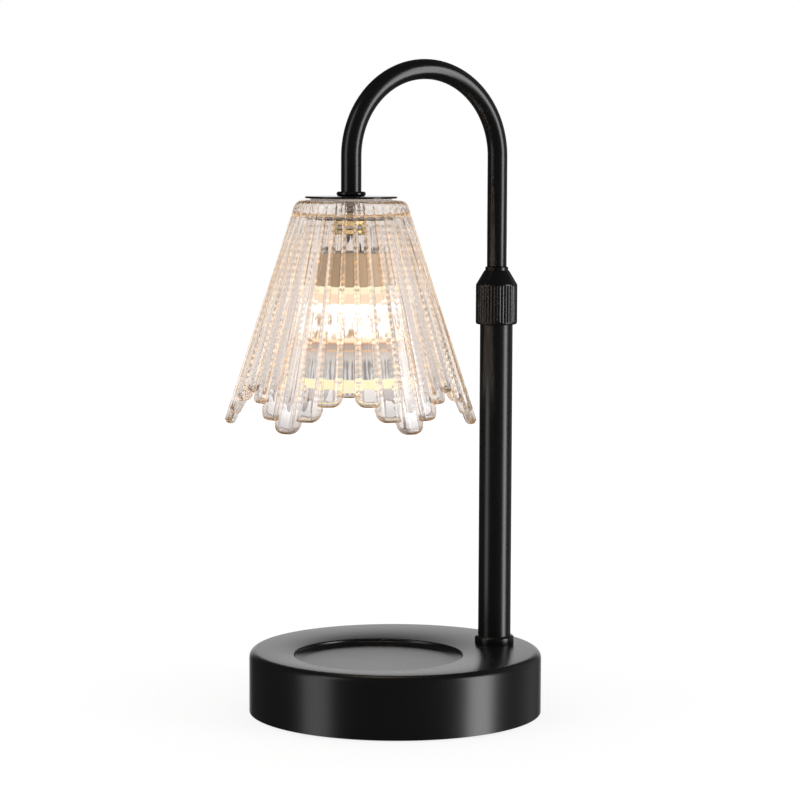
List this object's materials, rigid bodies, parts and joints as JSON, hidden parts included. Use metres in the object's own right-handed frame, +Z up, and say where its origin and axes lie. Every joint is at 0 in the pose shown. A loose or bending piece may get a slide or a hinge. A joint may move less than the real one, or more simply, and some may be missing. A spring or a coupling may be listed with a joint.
{
  "type": "candle warmer lamp",
  "caption": "Table lamp that melts a candle from above: weighted round base with a jar recess, sliding swing arm, fluted glass shade over a reflector bulb.",
  "frame": {"origin": "centre of the round base on the surface it stands on", "axes": "+Z up, +X to the right of the lamp's front view, -Y towards the front; the pole stands to the right and behind the centre"},
  "size_m": [0.1504, 0.1529, 0.3112],
  "materials": {
    "black_steel": "satin black powder coat",
    "gloss_black": "polished black plate",
    "knurled_black": "matt black, knurled",
    "cast_weight": "as cast",
    "zinc_steel": "zinc plated",
    "turned_brass": "turned",
    "foot_foam": "closed-cell foam",
    "black_rubber": "moulded",
    "clear_silicone": "clear silicone",
    "white_nylon": "moulded nylon",
    "lead_sleeve": "braided glass-fibre sleeve",
    "blue_insulation": "silicone insulation",
    "brown_insulation": "silicone insulation",
    "clear_glass": "pressed, fire polished",
    "tan_ceramic": "steatite",
    "bulb_ceramic": "cement and ceramic",
    "pin_metal": "nickel plated",
    "bulb_glass": "faceted reflector glass, lit",
    "lens_glass": "clear front lens, lit",
    "capsule_glass": "quartz",
    "hot_filament": "tungsten, glowing"
  },
  "bodies": {
    "base": {"base_shell": "black_steel", "base_posts": "zinc_steel", "base_weight": "cast_weight", "base_plate": "zinc_steel", "base_screws": "zinc_steel", "base_pad": "foot_foam", "cord_grommet": "black_rubber", "terminal_block": "white_nylon", "terminal_screws": "zinc_steel", "base_lead": "lead_sleeve", "foot_collar": "black_steel", "outer_tube": "black_steel", "tube_plug": "zinc_steel", "foot_nipple": "zinc_steel", "foot_washer": "zinc_steel", "foot_nut": "zinc_steel", "tube_head": "turned_brass"},
    "swivel": {"clamp_collet": "white_nylon"},
    "arm": {"gooseneck": "black_steel", "guide_bush": "white_nylon", "arm_lead": "lead_sleeve", "stop_ring": "gloss_black", "cap_disc": "gloss_black", "upper_gasket": "clear_silicone", "glass_shade": "clear_glass", "lower_gasket": "clear_silicone", "clamp_plate": "gloss_black", "shade_nut": "turned_brass", "socket_bracket": "zinc_steel", "bracket_nut": "turned_brass", "socket_screws": "zinc_steel", "lamp_holder": "tan_ceramic", "holder_contacts": "turned_brass", "blue_wire": "blue_insulation", "brown_wire": "brown_insulation"},
    "nut": {"clamp_nut": "knurled_black"},
    "bulb": {"bulb_base": "bulb_ceramic", "bulb_pins": "pin_metal", "bulb_reflector": "bulb_glass", "bulb_lens": "lens_glass", "bulb_capsule": "capsule_glass", "bulb_filament": "hot_filament"}
  },
  "joints": [
    {"name": "arm_swivel", "type": "hinge", "parent": "base", "child": "swivel", "pos_m": [0.04807, 0.01674, 0.198], "axis": [0, 0, 1], "range_deg": [-120, 120]},
    {"name": "arm_height", "type": "slide", "parent": "swivel", "child": "arm", "axis": [0, 0, 1], "range_m": [-0.05, 0.045]},
    {"name": "nut_turn", "type": "hinge", "parent": "base", "child": "nut", "pos_m": [0.04807, 0.01674, 0.198], "axis": [0, 0, 1], "range_deg": [0, 180]},
    {"name": "bulb_twist", "type": "hinge", "parent": "arm", "child": "bulb", "pos_m": [-0.02106, -0.02662, 0.21], "axis": [0, 0, 1], "range_deg": [-20, 0]}
  ]
}
